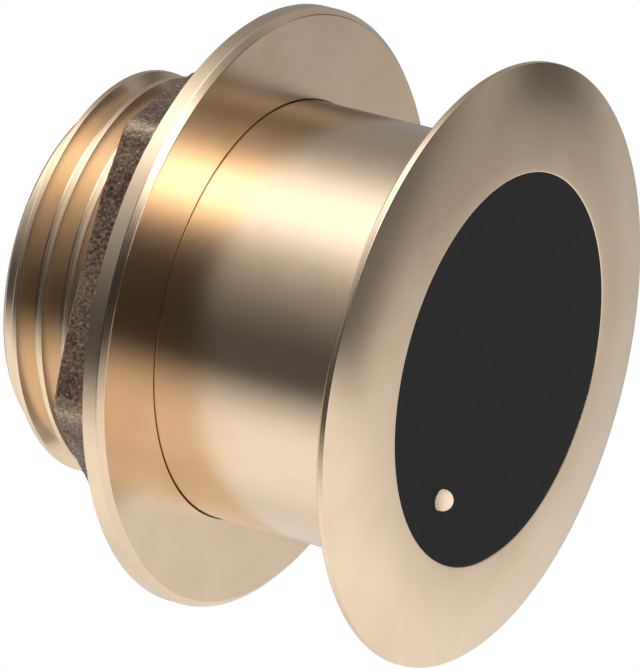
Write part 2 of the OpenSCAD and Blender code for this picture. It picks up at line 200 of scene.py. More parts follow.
class TransducerNut(bpy.types.PropertyGroup):
    """Sizes of the hull nut"""
    flange_radius: length("Flange radius", "Radius of the nut's flange", node_radius("hull_nut"))
    flange_thickness: length("Flange thickness", "Thickness of the nut's flange", 4.6 * MM)
    chamfer: length("Chamfer", "Chamfer on the flange's front corner", 1.3 * MM)
    flat_radius: length("Flat radius", "Distance of the hexagon's flats from the axis", 52 * MM)
    corner_round: length("Corner round", "Rounding of the cast hexagon's corners", 3 * MM)
    back_round: length("Back round", "Rounding of the cast hexagon's back edge", 1.1 * MM)
    back_slope: angle("Back slope", "Slope of the hexagon's back at its corners", 10)
    turn: angle("Turn", "Turn of the hexagon about the nut's axis", -1)
    foot_fillet: length("Foot fillet", "Cast fillet between the hexagon and the flange", 1.4 * MM)
    mouth_gap: length("Mouth gap", "Gap round the waist in the nut's mouth", 0.2 * MM)
    shoulder_gap: length("Shoulder gap", "Gap between the waist's shoulder and the nut", 0.3 * MM)
    grain: length("Sand grain", "Width of the pebbles that the mould's sand leaves", 0.85 * MM)
    grain_depth: length("Grain depth", "Height of those pebbles", 0.13 * MM)
    wave_depth: length("Wave depth", "Unevenness of the cast faces", 0.12 * MM)


class TransducerGland(bpy.types.PropertyGroup):
    """Sizes of the temperature stud and the cable gland"""
    stud_radius: length("Stud radius", "Radius of the temperature stud's domed tip", 2.25 * MM)
    stud_collar: length("Stud collar", "Thickness of the stud's collar inside the window", 1.6 * MM)
    stud_bore: length("Stud bore", "Radius of the stud's bore for the sensor", 1.3 * MM)
    cable_radius: length("Cable radius", "Radius of the cable's hole", 4.2 * MM)
    sleeve_radius: length("Sleeve radius", "Radius of the gland's sleeve and neck", 7.5 * MM)
    pocket_radius: length("Pocket radius", "Radius of the pocket for the seal", 6.1 * MM)
    flat_radius: length("Flat radius", "Distance of the gland's flats from the axis", 9.5 * MM)
    sleeve_length: length("Sleeve length", "Length of the sleeve in the potting", 16 * MM)
    collar_height: length("Collar height", "Height of the gland's collar", 4 * MM)
    nut_top: length("Nut top", "Thickness of the gland nut's top", 2.4 * MM)
    nut_gap: length("Nut gap", "Room round the neck and the cable in the gland nut", 0.15 * MM)
    nut_slope: angle("Nut slope", "Slope of the gland nut's top at its corners", 40)
    edge_round: length("Edge round", "Rounding of the gland's edges", 0.35 * MM)


class TransducerColours(bpy.types.PropertyGroup):
    """Colours of the finishes that show"""
    bronze: colour("Bronze", "Freshly turned bronze", "#ebd2b5")
    # Turned bronze's darker tone, which is also painted on the cast hexagon's corners as a highlight
    bronze_shade: colour("Bronze shade", "Turned bronze where it has begun to tone down", "#e5cbab")
    cast: colour("Cast skin", "Brown skin of the sand casting", "#a18671")
    cast_shade: colour("Cast pits", "Pits of the sand casting", "#4c3b30")
    face: colour("Face", "Black urethane of the sounding face", "#252525")
    stud: colour("Stud", "Pale metal of the temperature stud", "#ffe4c8")
    brass: colour("Brass", "Brass of the cable gland", "#d8bd84")
    potting: colour("Potting", "Resin that fills the stem", "#343332")


class TransducerStage(bpy.types.PropertyGroup):
    """Camera and light of the studio"""
    target: FloatVectorProperty(name="Target", description="Point that the camera looks at",
                                default=(-2.4 * MM, 0, 45.5 * MM), size=3, subtype="TRANSLATION")
    distance: length("Distance", "Distance of the camera from the target", 1.3784)
    elevation: angle("Elevation", "Height of the camera above the target's level", -28.75)
    roll: angle("Roll", "Turn of the camera about its own line of sight", -75.18)
    focal_length: FloatProperty(name="Focal length", description="Focal length on a 36 mm wide sensor",
                                default=374.3, unit="CAMERA")
    softbox_light: FloatProperty(name="Softbox light", description="Brightness of the softbox against white",
                                 default=1.35, min=0)
    fill_light: FloatProperty(name="Fill light", description="Brightness of the even light against white",
                              default=0.95, min=0)


def add_node(tree, kind, inputs=None, **settings):
    """Adds one shader node, sets its properties and gives its sockets values or links."""
    node = tree.nodes.new(kind)
    for name, value in settings.items():
        setattr(node, name, value)
    for name, value in (inputs or {}).items():
        if isinstance(value, bpy.types.NodeSocket):
            tree.links.new(value, node.inputs[name])
        else:
            node.inputs[name].default_value = value
    return node


def new_material(name):
    """A material with an empty node tree, and its output node."""
    material = bpy.data.materials.new(name)
    material.use_nodes = True
    material.node_tree.nodes.clear()
    return material, material.node_tree, add_node(material.node_tree, "ShaderNodeOutputMaterial")


def per_metre(width):
    """Scale at which a noise has features of the given width."""
    return 1 / width


def opaque(rgb):
    """A colour with full alpha, as a colour socket takes it."""
    return (*rgb, 1)


def turned_bronze(colours):
    """Bronze turned on a lathe: its rings draw reflections out across them, and it tones in soft patches."""
    material, tree, output = new_material("turned_bronze")
    place = add_node(tree, "ShaderNodeTexCoord").outputs["Object"]
    # Rings follow the radius on faces and the height on cylinders, so their sum serves both.
    # The tool's feed of 0.15 mm is too fine to show, so it is drawn at 0.5 mm.
    ring_width = 0.5 * MM
    flat = add_node(tree, "ShaderNodeVectorMath", {0: place, 1: (1, 1, 0)}, operation="MULTIPLY")
    radius = add_node(tree, "ShaderNodeVectorMath", {0: flat.outputs[0]}, operation="LENGTH")
    height = add_node(tree, "ShaderNodeSeparateXYZ", {0: place})
    along = add_node(tree, "ShaderNodeMath", {0: radius.outputs["Value"], 1: height.outputs["Z"]},
                     operation="ADD")
    rings = add_node(tree, "ShaderNodeTexNoise", {"W": along.outputs[0], "Scale": per_metre(ring_width),
                                                  "Detail": 2.0}, noise_dimensions="1D")
    patches = add_node(tree, "ShaderNodeTexNoise", {"Vector": place, "Scale": per_metre(14 * MM),
                                                    "Detail": 3.0})
    tone = add_node(tree, "ShaderNodeMapRange", {"Value": patches.outputs[0], 1: 0.4, 2: 0.75})
    tint = add_node(tree, "ShaderNodeMix", {0: tone.outputs[0], 6: opaque(colours.bronze),
                                            7: opaque(colours.bronze_shade)}, data_type="RGBA")
    polish = add_node(tree, "ShaderNodeMapRange", {"Value": rings.outputs[0], 1: 0.3, 2: 0.7,
                                                   3: 0.19, 4: 0.22})
    grooves = add_node(tree, "ShaderNodeBump", {"Height": rings.outputs[0], "Strength": 0.05,
                                                "Distance": 0.01 * MM})
    round_axis = add_node(tree, "ShaderNodeVectorMath", {0: (0, 0, 1), 1: place}, operation="CROSS_PRODUCT")
    shader = add_node(tree, "ShaderNodeBsdfPrincipled", {
        "Base Color": tint.outputs[2], "Metallic": 1.0, "Roughness": polish.outputs[0], "Anisotropic": 0.8,
        "Anisotropic Rotation": 0.25, "Tangent": round_axis.outputs[0], "Normal": grooves.outputs[0]})
    tree.links.new(shader.outputs[0], output.inputs["Surface"])
    return material


def cast_bronze(colours, corner):
    """Sand-cast bronze: a dull brown skin, dark in its pits, with pale bronze painted on its corners as a
    highlight and pale bronze on the rim beyond them.

    The corners lie at the given distance from the axis, and the rim lies beyond them.
    """
    material, tree, output = new_material("sand_cast_bronze")
    place = add_node(tree, "ShaderNodeTexCoord").outputs["Object"]
    sand = add_node(tree, "ShaderNodeTexNoise", {"Vector": place, "Scale": per_metre(0.7 * MM), "Detail": 3.0,
                                                 "Roughness": 0.6})
    stain = add_node(tree, "ShaderNodeTexNoise", {"Vector": place, "Scale": per_metre(8 * MM), "Detail": 2.0})
    mixed = add_node(tree, "ShaderNodeMath", {0: stain.outputs[0], 1: 0.35, 2: sand.outputs[0]},
                     operation="MULTIPLY_ADD")
    tone = add_node(tree, "ShaderNodeMapRange", {"Value": mixed.outputs[0], 1: 0.5, 2: 0.9})
    tint = add_node(tree, "ShaderNodeMix", {0: tone.outputs[0], 6: opaque(colours.cast_shade),
                                            7: opaque(colours.cast)}, data_type="RGBA")
    flat = add_node(tree, "ShaderNodeVectorMath", {0: place, 1: (1, 1, 0)}, operation="MULTIPLY")
    radius = add_node(tree, "ShaderNodeVectorMath", {0: flat.outputs[0]}, operation="LENGTH")
    # Pale bronze is painted on the hexagon's corners as a highlight, and on the rim that lies beyond them
    peaks = add_node(tree, "ShaderNodeMath", {0: sand.outputs[0], 1: 2 * MM, 2: radius.outputs["Value"]},
                     operation="MULTIPLY_ADD")
    corner_highlight_and_rim = add_node(tree, "ShaderNodeMapRange", {"Value": peaks.outputs[0], 1: corner - 0.4 * MM,
                                                   2: corner + 1.2 * MM, 3: 0.0, 4: 0.45})
    skin = add_node(tree, "ShaderNodeMix", {0: corner_highlight_and_rim.outputs[0], 6: tint.outputs[2],
                                            7: opaque(colours.bronze_shade)}, data_type="RGBA")
    polish = add_node(tree, "ShaderNodeMapRange", {"Value": sand.outputs[0], 1: 0.3, 2: 0.75,
                                                   3: 0.5, 4: 0.28})
    pebbles = add_node(tree, "ShaderNodeTexVoronoi", {"Vector": place, "Scale": per_metre(1.0 * MM)},
                       feature="SMOOTH_F1")
    heap = add_node(tree, "ShaderNodeMath", {0: sand.outputs[0], 1: pebbles.outputs["Distance"]},
                    operation="SUBTRACT")
    relief = add_node(tree, "ShaderNodeBump", {"Height": heap.outputs[0], "Strength": 0.7,
                                               "Distance": 0.4 * MM})
    shader = add_node(tree, "ShaderNodeBsdfPrincipled", {
        "Base Color": skin.outputs[2], "Metallic": 0.7, "Roughness": polish.outputs[0],
        "Normal": relief.outputs[0]})
    tree.links.new(shader.outputs[0], output.inputs["Surface"])
    return material


def grained(name, light, dark, grain, roughness, depth, metallic=0.0, specular=0.5):
    """A plain finish with a grain: two tones, a roughness that follows them and a shallow relief."""
    material, tree, output = new_material(name)
    place = add_node(tree, "ShaderNodeTexCoord").outputs["Object"]
    specks = add_node(tree, "ShaderNodeTexNoise", {"Vector": place, "Scale": per_metre(grain), "Detail": 3.0})
    tone = add_node(tree, "ShaderNodeMapRange", {"Value": specks.outputs[0], 1: 0.35, 2: 0.65})
    tint = add_node(tree, "ShaderNodeMix", {0: tone.outputs[0], 6: opaque(dark), 7: opaque(light)},
                    data_type="RGBA")
    spread = 0.08
    polish = add_node(tree, "ShaderNodeMapRange", {"Value": specks.outputs[0], 1: 0.35, 2: 0.65,
                                                   3: roughness + spread, 4: roughness - spread})
    relief = add_node(tree, "ShaderNodeBump", {"Height": specks.outputs[0], "Strength": 0.4,
                                               "Distance": depth})
    shader = add_node(tree, "ShaderNodeBsdfPrincipled", {
        "Base Color": tint.outputs[2], "Metallic": metallic, "Roughness": polish.outputs[0],
        "Specular IOR Level": specular, "Normal": relief.outputs[0]})
    tree.links.new(shader.outputs[0], output.inputs["Surface"])
    return material


def darker(rgb, share):
    """A colour dimmed to the given share of its light."""
    return [c * share for c in rgb]


def draw_outline(points, rounds=()):
    """Draws a closed outline of (radius, height) points in the XZ plane, with some corners rounded."""
    bm = bmesh.new()
    corners = [bm.verts.new((r, 0, z)) for r, z in points]
    for i, corner in enumerate(corners):
        bm.edges.new((corner, corners[(i + 1) % len(corners)]))
    for radius, places in rounds:
        bmesh.ops.bevel(bm, geom=[corners[i] for i in places], offset=radius, offset_type="OFFSET",
                        segments=ROUND_SEGMENTS, profile=0.5, affect="VERTICES", material=-1,
                        clamp_overlap=True)
    return bm


def spin(bm, turn, steps, rise=0.0, copies=False):
    """Spins all of a mesh about the Z axis, as a sweep or as copies, and lifts it a little at each step."""
    bmesh.ops.spin(bm, geom=bm.verts[:] + bm.edges[:] + bm.faces[:], cent=(0, 0, 0), axis=(0, 0, 1),
                   dvec=(0, 0, rise), angle=turn, steps=steps, use_merge=False, use_normal_flip=False,
                   use_duplicate=copies)


def close_mesh(bm):
    """Joins the vertices that lie on each other and points all normals outwards."""
    bmesh.ops.remove_doubles(bm, verts=bm.verts, dist=1e-7)
    bmesh.ops.recalc_face_normals(bm, faces=bm.faces)
    bm.normal_update()


def revolve(points, steps, rounds=(), spacing=None):
    """Spins a closed outline into a ring: one sector as a sweep, and the others as copies of it.

    With a spacing, the sides are cut up finely, apart from the two hidden ones that meet in the first point.
    """
    bm = draw_outline(points, rounds)
    if spacing:
        first = Vector((points[0][0], 0, points[0][1]))
        for edge in bm.edges[:]:
            if all((vert.co - first).length > spacing for vert in edge.verts):
                bmesh.ops.subdivide_edges(bm, edges=[edge], cuts=int(edge.calc_length() / spacing))
    spin(bm, FULL_TURN / SECTORS, steps // SECTORS)
    spin(bm, FULL_TURN * (SECTORS - 1) / SECTORS, SECTORS - 1, copies=True)
    close_mesh(bm)
    return bm


def wind_ridge(section, rounds, pitch, turns, start_height, start_angle, wall):
    """Winds a ridge of (radius, height) section points into a helix that fades out at both ends."""
    bm = draw_outline(section, rounds)
    steps = round(turns * THREAD_STEPS)
    spin(bm, FULL_TURN * steps / THREAD_STEPS, steps, pitch / THREAD_STEPS)
    bmesh.ops.holes_fill(bm, edges=[e for e in bm.edges if e.is_boundary], sides=0)
    # The ridge rises over an eighth of a turn
    fade = 1 / 8
    for vert in bm.verts:
        turn = math.atan2(vert.co.y, vert.co.x) / FULL_TURN
        turn += round(vert.co.z / pitch - turn)
        share = max(0, min(1, turn / fade, (turns - turn) / fade))
        radius = math.hypot(vert.co.x, vert.co.y)
        scale = (wall + (radius - wall) * share) / radius
        vert.co.x *= scale
        vert.co.y *= scale
    bmesh.ops.rotate(bm, verts=bm.verts, cent=(0, 0, 0), matrix=Matrix.Rotation(start_angle, 3, "Z"))
    bmesh.ops.translate(bm, verts=bm.verts, vec=(0, 0, start_height))
    close_mesh(bm)
    return bm


def whole_steps(turns):
    """Turns of a thread, cut down to a whole number of facets."""
    return math.floor(turns * THREAD_STEPS) / THREAD_STEPS


def hexagon_reach(direction, flat, corner_round):
    """Distance from the axis to the side of a hexagon with rounded corners, whose first corner lies on +X."""
    turn = (direction + HALF_FLAT) % (2 * HALF_FLAT) - HALF_FLAT
    centre = (flat - corner_round) / math.cos(HALF_FLAT)
    arc_end = math.atan2(corner_round * math.sin(HALF_FLAT), centre + corner_round * math.cos(HALF_FLAT))
    if abs(turn) < arc_end:
        return centre * math.cos(turn) + math.sqrt(corner_round ** 2 - (centre * math.sin(turn)) ** 2)
    return flat / math.cos(HALF_FLAT - abs(turn))


def press_hexagon(bm, keep, flat, corner_round, foot, back, slope):
    """Presses a round bar's outside to a hexagon and slopes its back down at the corners.

    Nothing moves inside the radius keep, and the slope is spread from the bar's foot to its back.
    """
    for vert in bm.verts:
        radius = math.hypot(vert.co.x, vert.co.y)
        if radius > keep:
            reach = hexagon_reach(math.atan2(vert.co.y, vert.co.x), flat, corner_round)
            new_radius = keep + (radius - keep) / (flat - keep) * (reach - keep)
            drop = max(0, new_radius - flat) * math.tan(slope)
            share = min(1, max(0, (vert.co.z - foot) / (back - foot)))
            vert.co = (vert.co.x * new_radius / radius, vert.co.y * new_radius / radius,
                       vert.co.z - drop * share)


def finish_piece(name, islands, materials):
    """Joins meshes into an object that rides with the part and stands for the solid of the same name."""
    mesh = bpy.data.meshes.new(name)
    whole = bmesh.new()
    for island in islands:
        island.to_mesh(mesh)
        island.free()
        whole.from_mesh(mesh)
    whole.to_mesh(mesh)
    whole.free()
    mesh.polygons.foreach_set("use_smooth", [True] * len(mesh.polygons))
    mesh.set_sharp_from_angle(angle=CRISP)
    for material in materials:
        mesh.materials.append(material)
    piece = bpy.data.objects.new(name + "_look", mesh)
    bpy.context.scene.collection.objects.link(piece)
    # Large faces keep their own direction beside small rounded edges
    piece.modifiers.new("Even shading", "WEIGHTED_NORMAL").keep_sharp = True
    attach(piece, BODY)
    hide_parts(name)
    return piece


def dress(node, material):
    """Gives a solid of the model its finish."""
    slots = frame["nodes"][node].material_slots
    for slot in slots:
        slot.material = material
    if not slots:
        frame["nodes"][node].data.materials.append(material)


def thread_sizes(thread):
    """Width of crest and root, radius of the root, and slope of the flanks."""
    crest = thread.pitch / 6
    root = thread.pitch / 8
    lean = math.tan(thread.flank_angle / 2)
    return crest, root, thread.crest_radius - (thread.pitch - crest - root) / (2 * lean), lean


class TRANSDUCER_OT_housing(bpy.types.Operator):
    """Turns the housing: domed flange, waist, threaded stem and the chamber inside"""
    bl_idname = "transducer.housing"
    bl_label = "Housing"

    def execute(self, context):
        size = context.scene.transducer_housing
        thread = context.scene.transducer_thread
        window_low, window_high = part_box("acoustic_window")
        face, window_back = window_low[2], window_high[2]
        window_radius = node_radius("acoustic_window")
        seat = mount_height("hull_seat")
        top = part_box("housing")[1][2]
        shoulder = seat + size.waist_height
        chamber_top = seat + size.chamber_height
        lip = window_radius + size.lip_width
        crest, _, root, lean = thread_sizes(thread)

        # The dome's arc leaves the lip level and ends at the rim
        reach = size.flange_radius - lip
        drop = seat - size.rim_height - face
        dome = (reach ** 2 + drop ** 2) / (2 * drop)
        dome_segments = 20
        turns = [math.asin(reach / dome) * i / dome_segments for i in range(dome_segments + 1)]
        arc = [(lip + dome * math.sin(t), face + dome * (1 - math.cos(t))) for t in turns]
        outside = [
            (size.flange_radius, seat - size.rim_break),
            (size.flange_radius - size.rim_break, seat),
            (size.waist_radius, seat),
            (size.waist_radius, shoulder),
            (root, shoulder),
            (root, top - size.pilot_length),
            (size.pilot_radius, top - size.pilot_length),
            (size.pilot_radius, top - size.end_chamfer),
            (size.pilot_radius - size.end_chamfer, top),
        ]
        inside = [
            (size.bore_radius, top),
            (size.bore_radius, chamber_top + size.chamber_radius - size.bore_radius),
            (size.chamber_radius, chamber_top),
            (size.chamber_radius, window_back),
            (window_radius, window_back),
            (window_radius, face),
        ]
        outline = arc + outside + inside
        rim = len(arc) - 1
        foot = outline.index(outside[2])
        turned_edges = [rim, rim + 1, rim + 2, foot + 1, foot + 3, foot + 4, foot + 5, foot + 6, foot + 7]
        shell = revolve(outline, ROUND_STEPS, [(size.edge_round, turned_edges), (size.waist_foot, [foot]),
                                               (size.lip_round, [len(outline) - 1])])

        # The ridge stands on a thin pad, a hair narrower than the pitch, which carries the rounded roots
        pad_height, pad_width = thread.pitch / 300, thread.pitch * 0.996
        wall, pad = root - thread.pitch * ROOTED, root + pad_height
        half_crest, half_pad = crest / 2, pad_width / 2
        half_foot = half_crest + (thread.crest_radius - pad) * lean
        half = [(thread.crest_radius, half_crest), (pad, half_foot), (pad, half_pad), (wall, half_pad)]
        section = [(r, -z) for r, z in reversed(half)] + half
        thread_top = top - thread.runout
        turns = whole_steps((thread_top - shoulder - thread.relief) / thread.pitch)
        rounds = [(thread.crest_round, (3, 4)), (thread.root_round, (2, 5))]
        ridge = wind_ridge(section, rounds, thread.pitch, turns, thread_top - turns * thread.pitch,
                           thread.end_angle - turns * FULL_TURN, wall)
        finish_piece("housing", [shell, ridge], [turned_bronze(context.scene.transducer_colours)])
        return {"FINISHED"}


class TRANSDUCER_OT_hull_nut(bpy.types.Operator):
    """Makes the hull nut: a turned flange, a sand-cast hexagon and the thread inside"""
    bl_idname = "transducer.hull_nut"
    bl_label = "Hull nut"

    def execute(self, context):
        size = context.scene.transducer_nut
        thread = context.scene.transducer_thread
        housing = context.scene.transducer_housing
        colours = context.scene.transducer_colours
        front = mount_height("nut_seat")
        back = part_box("hull_nut")[1][2]
        flange_back = front + size.flange_thickness
        shoulder = mount_height("hull_seat") + housing.waist_height + size.shoulder_gap
        mouth = housing.waist_radius + size.mouth_gap
        _, valley, root, lean = thread_sizes(thread)
        gap = thread.gap / math.cos(thread.flank_angle / 2)
        bore = thread.crest_radius + gap

        outline = [
            (mouth, front),
            (size.flange_radius - size.chamfer, front),
            (size.flange_radius, front + size.chamfer),
            (size.flange_radius, flange_back),
            (bore, flange_back),
            (bore, shoulder),
            (mouth, shoulder),
        ]
        flange = revolve(outline, 2 * ROUND_STEPS, [(housing.edge_round, (0, 1, 2))])
        # The rim runs out unevenly where the tool met the cast back
        for vert in flange.verts:
            if vert.co.z > flange_back - housing.edge_round:
                uneven = noise.noise(vert.co / (2 * size.grain)) + noise.noise(vert.co / (6 * size.grain))
                vert.co.z += size.wave_depth * (uneven - 1) / 2
        for face in flange.faces:
            face.material_index = int(face.normal.z > 0.5 and face.calc_center_median().z > shoulder)

        # The hexagon's foot is sunk below the flange's unevenness, and its mesh is fine enough for pebbles
        sunk = flange_back - size.wave_depth * 2
        spacing = size.grain * 0.4
        outline = [(bore, sunk), (size.flat_radius, sunk), (size.flat_radius, back), (bore, back)]
        hexagon = revolve(outline, CAST_STEPS, [(size.back_round, (2,))], spacing)
        press_hexagon(hexagon, mouth, size.flat_radius, size.corner_round, sunk, back, size.back_slope)
        self.sand(hexagon, size, flange_back, mouth)
        bmesh.ops.rotate(hexagon, verts=hexagon.verts, cent=(0, 0, 0),
                         matrix=Matrix.Rotation(size.turn, 3, "Z"))
        for face in hexagon.faces:
            face.material_index = 1

        wall = bore + thread.pitch * ROOTED
        tip = root + gap
        half_tip = valley / 2 - gap + (tip - root) * lean
        half_foot = half_tip + (wall - tip) * lean
        section = [(wall, -half_foot), (tip, -half_tip), (tip, half_tip), (wall, half_foot)]
        start = shoulder + half_foot
        turns = whole_steps((back - start - half_foot) / thread.pitch)
        # The nut's ridge lies half a pitch from the stem's crest in every direction
        thread_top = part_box("housing")[1][2] - thread.runout
        turn = thread.end_angle + (start - thread_top - thread.pitch / 2) / thread.pitch * FULL_TURN
        ridge = wind_ridge(section, [(thread.crest_round, (1, 2))], thread.pitch, turns, start, turn, wall)
        corner = hexagon_reach(0, size.flat_radius, size.corner_round)
        finishes = [turned_bronze(colours), cast_bronze(colours, corner)]
        finish_piece("hull_nut", [flange, hexagon, ridge], finishes)
        return {"FINISHED"}

    def sand(self, hexagon, size, flange_back, keep):
        """Gives the cast hexagon its fillet and the pebbled, slightly wavy skin of a sand mould."""
        # Only the hexagon's sides lie further out than this
        sides = size.flat_radius * 0.99
        for vert in hexagon.verts:
            radius = math.hypot(vert.co.x, vert.co.y)
            rise = vert.co.z - flange_back
            if radius > sides and rise < size.foot_fillet:
                short = min(size.foot_fillet, size.foot_fillet - rise)
                flare = size.foot_fillet - math.sqrt(max(0, size.foot_fillet ** 2 - short ** 2))
                vert.co *= Vector((1 + flare / radius, 1 + flare / radius, 1))
        hexagon.normal_update()
        moves = []
        for vert in hexagon.verts:
            pebble = noise.noise(vert.co / size.grain) * size.grain_depth
            wave = noise.noise(vert.co / (7 * size.grain)) * size.wave_depth
            moves.append(vert.normal * (pebble + wave - size.grain_depth))
        for vert, move in zip(hexagon.verts, moves):
            if math.hypot(vert.co.x, vert.co.y) > keep:
                vert.co += move


class TRANSDUCER_OT_sounding_face(bpy.types.Operator):
    """Finishes the black sounding face and turns the temperature stud in it"""
    bl_idname = "transducer.sounding_face"
    bl_label = "Sounding face"

    def execute(self, context):
        size = context.scene.transducer_gland
        colours = context.scene.transducer_colours
        # Cast urethane: a matt black with a fine, even tooth that takes almost no reflection
        dress("acoustic_window", grained("cast_urethane", colours.face, darker(colours.face, 0.86), 0.6 * MM,
                                         0.8, 0.03 * MM, specular=0.1))

        low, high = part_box("temperature_stud")
        face, window_back = (corner[2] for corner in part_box("acoustic_window"))
        collar_middle = (face + window_back) / 2
        collar_radius = (high[0] - low[0]) / 2
        dome_segments = 10
        turns = [math.pi / 2 * i / dome_segments for i in range(dome_segments + 1)]
        dome = [(size.stud_radius * math.sin(t), low[2] + size.stud_radius * (1 - math.cos(t)))
                for t in turns]
        shank = [
            (size.stud_radius, collar_middle - size.stud_collar / 2),
            (collar_radius, collar_middle - size.stud_collar / 2),
            (collar_radius, collar_middle + size.stud_collar / 2),
            (size.stud_radius, collar_middle + size.stud_collar / 2),
            (size.stud_radius, high[2]),
            (size.stud_bore, high[2]),
            (size.stud_bore, face),
            (0, face),
        ]
        stud = revolve(dome + shank, STUD_STEPS)
        middle = [(a + b) / 2 for a, b in zip(low, high)]
        bmesh.ops.translate(stud, verts=stud.verts, vec=(middle[0], middle[1], 0))
        # Pale bronze, blasted: an even, chalky sheen with no mirror in it
        blasted = grained("blasted_pale_bronze", colours.stud, darker(colours.stud, 0.95), 0.35 * MM, 0.75,
                          0.01 * MM, metallic=0.05)
        finish_piece("temperature_stud", [stud], [blasted])
        return {"FINISHED"}


class TRANSDUCER_OT_cable_gland(bpy.types.Operator):
    """Makes the cable gland at the stem's end and finishes the resin round it"""
    bl_idname = "transducer.cable_gland"
    bl_label = "Cable gland"

    def execute(self, context):
        size = context.scene.transducer_gland
        colours = context.scene.transducer_colours
        # Drawn brass bar: a warm, half-bright polish, faintly mottled
        brass = grained("drawn_brass", colours.brass, darker(colours.brass, 0.82), 0.9 * MM, 0.3, 0.01 * MM,
                        metallic=1.0)
        potting_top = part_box("potting")[1][2]
        collar_top = potting_top + size.collar_height
        neck_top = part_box("gland_body")[1][2]
        outline = [
            (size.cable_radius, potting_top - size.sleeve_length),
            (size.sleeve_radius, potting_top - size.sleeve_length),
            (size.sleeve_radius, potting_top),
            (size.flat_radius, potting_top),
            (size.flat_radius, collar_top),
            (size.sleeve_radius, collar_top),
            (size.sleeve_radius, neck_top),
            (size.pocket_radius, neck_top),
            (size.pocket_radius, collar_top),
            (size.cable_radius, collar_top),
        ]
        body = revolve(outline, GLAND_STEPS, [(size.edge_round, (3, 4))])
        press_hexagon(body, size.sleeve_radius, size.flat_radius, size.edge_round, potting_top, collar_top, 0)
        finish_piece("gland_body", [body], [brass])

        low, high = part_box("gland_nut")
        foot, top = low[2], high[2]
        hole = size.cable_radius + size.nut_gap
        room = size.sleeve_radius + size.nut_gap
        outline = [(room, foot), (size.flat_radius, foot), (size.flat_radius, top), (hole, top),
                   (hole, top - size.nut_top), (room, top - size.nut_top)]
        cap = revolve(outline, GLAND_STEPS, [(size.edge_round, (1, 2, 3))])
        press_hexagon(cap, room, size.flat_radius, size.edge_round, foot, top, size.nut_slope)
        finish_piece("gland_nut", [cap], [brass])

        # Moulded nitrile rubber: matt and nearly black, with a dusty bloom
        dress("gland_seal", grained("nitrile_rubber", linear("#2a2a2b"), linear("#1d1d1e"), 0.5 * MM, 0.7,
                                    0.02 * MM, specular=0.3))
        # Stamped stainless steel: cool grey with a soft rolled sheen
        dress("gland_washer", grained("stamped_stainless", linear("#c9ccd0"), linear("#aeb2b7"), 0.4 * MM,
                                      0.32, 0.01 * MM, metallic=1.0))
        # Poured epoxy: dark, level and half glossy, with faint clouds where it set
        dress("potting", grained("poured_epoxy", colours.potting, darker(colours.potting, 0.7), 5 * MM, 0.28,
                                 0.15 * MM))
        return {"FINISHED"}


class TRANSDUCER_OT_sounding_element(bpy.types.Operator):
    """Finishes the sounding element and the temperature sensor inside the housing"""
    bl_idname = "transducer.sounding_element"
    bl_label = "Sounding element"

    def execute(self, context):
        # Dipped epoxy bead: dark slate, glassy and slightly uneven
        dress("sensor_bead", grained("dipped_epoxy", linear("#3b3f4a"), linear("#2d3038"), 0.7 * MM, 0.25,
                                     0.02 * MM))
        # Extruded wire insulation: bright yellow with a waxy sheen
        dress("sensor_leads", grained("yellow_insulation", linear("#d4be0c"), linear("#bca400"), 0.8 * MM,
                                      0.42, 0.01 * MM))
        # Machined acetal: milky white, with a low sheen from the cutter
        dress("tilt_wedge", grained("machined_acetal", linear("#dcd7ca"), linear("#cbc5b5"), 2 * MM, 0.4,
                                    0.01 * MM))
        # Filled epoxy: slate blue-grey, speckled by its filler
        dress("matching_layer", grained("filled_epoxy", linear("#8592a1"), linear("#6d7987"), 0.3 * MM, 0.55,
                                        0.02 * MM))
        # Fired silver on ceramic: warm, chalky white metal
        dress("ceramic_disc", grained("silvered_ceramic", linear("#e0dac6"), linear("#cdc3a6"), 0.5 * MM, 0.5,
                                      0.01 * MM, metallic=0.6))
        # Pressed cork: brown crumbs of several shades, dull and pitted
        cork = grained("pressed_cork", linear("#c19766"), linear("#8a6238"), 1.6 * MM, 0.85, 0.2 * MM)
        dress("cork_backing", cork)
        dress("cork_sleeve", cork)
        # Extruded wire insulation: brick red with a waxy sheen
        dress("signal_leads", grained("red_insulation", linear("#b8402f"), linear("#9c3325"), 0.8 * MM, 0.42,
                                      0.01 * MM))
        return {"FINISHED"}


class TRANSDUCER_OT_electronics(bpy.types.Operator):
    """Finishes the terminal board and the matching transformer inside the housing"""
    bl_idname = "transducer.electronics"
    bl_label = "Electronics"

    def execute(self, context):
        # Glass-epoxy laminate: green and half glossy, faintly mottled
        dress("terminal_board", grained("glass_laminate", linear("#35744c"), linear("#2a5f3d"), 0.5 * MM,
                                        0.38, 0.02 * MM))
        # Transfer-moulded resin: charcoal, with a fine eggshell
        dress("identity_chip", grained("moulded_resin", linear("#232326"), linear("#1a1a1c"), 0.15 * MM, 0.5,
                                       0.01 * MM))
        # Dipped lacquer: tan, smooth and slightly glossy
        dress("bleed_resistor", grained("dipped_lacquer", linear("#cfac7e"), linear("#bd9767"), 0.6 * MM,
                                        0.35, 0.01 * MM))
        # Sintered ferrite: dark grey, with a dull graphite sheen
        ferrite = grained("sintered_ferrite", linear("#45454a"), linear("#333337"), 0.25 * MM, 0.48,
                          0.02 * MM)
        dress("core_lower", ferrite)
        dress("core_upper", ferrite)
        # Moulded nylon: ivory, faintly mottled, with a soft sheen
        dress("bobbin", grained("moulded_nylon", linear("#e9e5da"), linear("#dad5c6"), 0.9 * MM, 0.45,
                                0.01 * MM))
        # Enamelled copper wire: red-brown metal with a lacquered shine
        dress("winding", grained("enamelled_copper", linear("#b4622f"), linear("#8f4720"), 0.35 * MM, 0.3,
                                 0.1 * MM, metallic=1.0))
        return {"FINISHED"}


